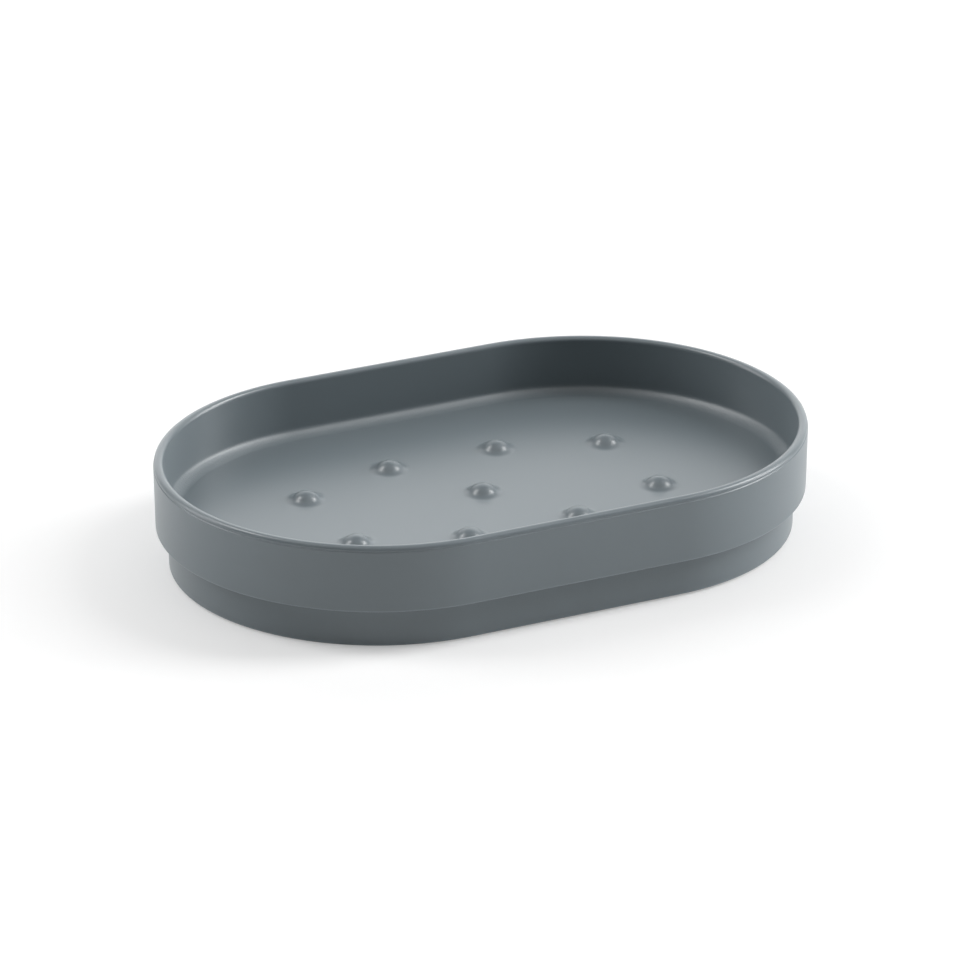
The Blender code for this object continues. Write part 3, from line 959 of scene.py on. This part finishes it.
def softbox(name, studio, turn, half_angle, bottom, top, level, glint=False):
    """An upright soft light beside the dish, at an angle from the camera, between two elevations.

    One that is a glint shows only in reflections, so that its small face throws no hard shadow.
    """
    lamp = bpy.data.lights.new(name, "AREA")
    lamp.shape = "RECTANGLE"
    lamp.size = 2 * studio.light_distance * math.tan(half_angle)
    low, high = (studio.light_distance * math.tan(edge) for edge in (bottom, top))
    lamp.size_y = high - low
    lamp.energy = level * math.pi * lamp.size * lamp.size_y
    thing = bpy.data.objects.new(name, lamp)
    bpy.context.scene.collection.objects.link(thing)
    azimuth = studio.camera_azimuth + turn
    away = heading_vector(azimuth, 0)
    thing.location = away * studio.light_distance + Vector((0, 0, (low + high) / 2))
    thing.rotation_mode = "QUATERNION"
    thing.rotation_quaternion = (-away).to_track_quat("-Z", "Y")
    thing.visible_diffuse = not glint


def side_lights(studio, side):
    """The softbox on one side of the camera and its hot middle, which glints on the rim."""
    turn, half_angle, top, level, tube, tube_level = (
        getattr(studio, f"{side}_{key}")
        for key in ("azimuth", "half_angle", "top", "level", "tube", "tube_level")
    )
    softbox(side + "_softbox", studio, turn, half_angle, 0, top, level)
    half_tube = studio.tube_half_angle
    low, high = tube - half_tube, tube + half_tube
    softbox(side + "_tube", studio, turn, half_tube, low, high, tube_level, glint=True)


def studio_camera(studio):
    """The camera at the photograph's view."""
    camera = bpy.data.cameras.new("camera")
    camera.sensor_width = studio.sensor_width
    camera.lens = studio.focal_length
    camera.clip_start = studio.nearest
    camera.clip_end = studio.farthest
    thing = bpy.data.objects.new("camera", camera)
    bpy.context.scene.collection.objects.link(thing)
    bpy.context.scene.camera = thing
    away = heading_vector(studio.camera_azimuth, studio.camera_elevation)
    side = Vector((0, 0, 1)).cross(away).normalized()
    rise = away.cross(side)
    level = Matrix((side, rise, away)).transposed()
    rolled = level @ Matrix.Rotation(studio.camera_roll, 3, "Z")
    aim = Vector((studio.aim_x, studio.aim_y, 0))
    thing.matrix_world = Matrix.Translation(aim + away * studio.camera_distance) @ rolled.to_4x4()


class SOAPDISH_OT_stage(bpy.types.Operator):
    """Set up the pale floor, the soft lights and the camera"""

    bl_idname = "soap_dish.stage"
    bl_label = "Stage"

    def execute(self, context):
        scene = context.scene
        studio = scene.soap_dish_studio
        shape = bmesh.new()
        bmesh.ops.create_grid(shape, x_segments=1, y_segments=1, size=studio.floor_size / 2)
        floor = new_object("floor", shape)
        floor.data.materials.append(floor_material(studio))
        studio_world(scene)
        side_lights(studio, "right")
        side_lights(studio, "left")
        studio_camera(studio)
        scene.view_settings.view_transform = "Standard"
        return {"FINISHED"}


class SOAPDISH_PT_panel(bpy.types.Panel):
    """The soap dish's operators and sizes in the sidebar"""

    bl_label = "Soap Dish"
    bl_idname = "SOAPDISH_PT_panel"
    bl_space_type = "VIEW_3D"
    bl_region_type = "UI"
    bl_category = "Soap Dish"

    def draw(self, context):
        column = self.layout.column()
        for operator in OPERATORS:
            column.operator(operator.bl_idname)
        for name in GROUPS:
            group = getattr(context.scene, name)
            box = self.layout.box()
            box.label(text=GROUPS[name].__name__)
            for key in group.bl_rna.properties.keys():
                if key not in {"rna_type", "name"}:
                    box.prop(group, key)


OPERATORS = (SOAPDISH_OT_dish_body, SOAPDISH_OT_feet, SOAPDISH_OT_stage)
GROUPS = {
    "soap_dish_sizes": DishSizes,
    "soap_dish_studs": StudSizes,
    "soap_dish_underside": UndersideSizes,
    "soap_dish_feet": FootSizes,
    "soap_dish_finish": FinishColours,
    "soap_dish_studio": StudioSizes,
}


def register():
    """Make the sizes, the operators and the panel known to Blender."""
    for group in GROUPS.values():
        bpy.utils.register_class(group)
    for operator in OPERATORS:
        bpy.utils.register_class(operator)
    bpy.utils.register_class(SOAPDISH_PT_panel)
    for name, group in GROUPS.items():
        setattr(bpy.types.Scene, name, PointerProperty(type=group))


def unregister():
    """Take the sizes, the operators and the panel away again."""
    for name in GROUPS:
        delattr(bpy.types.Scene, name)
    bpy.utils.unregister_class(SOAPDISH_PT_panel)
    for operator in reversed(OPERATORS):
        bpy.utils.unregister_class(operator)
    for group in reversed(tuple(GROUPS.values())):
        bpy.utils.unregister_class(group)


def main():
    """Model the dish, its feet and the stage."""
    register()
    bpy.ops.soap_dish.dish_body()
    bpy.ops.soap_dish.feet()
    bpy.ops.soap_dish.stage()


if __name__ == "__main__":
    main()
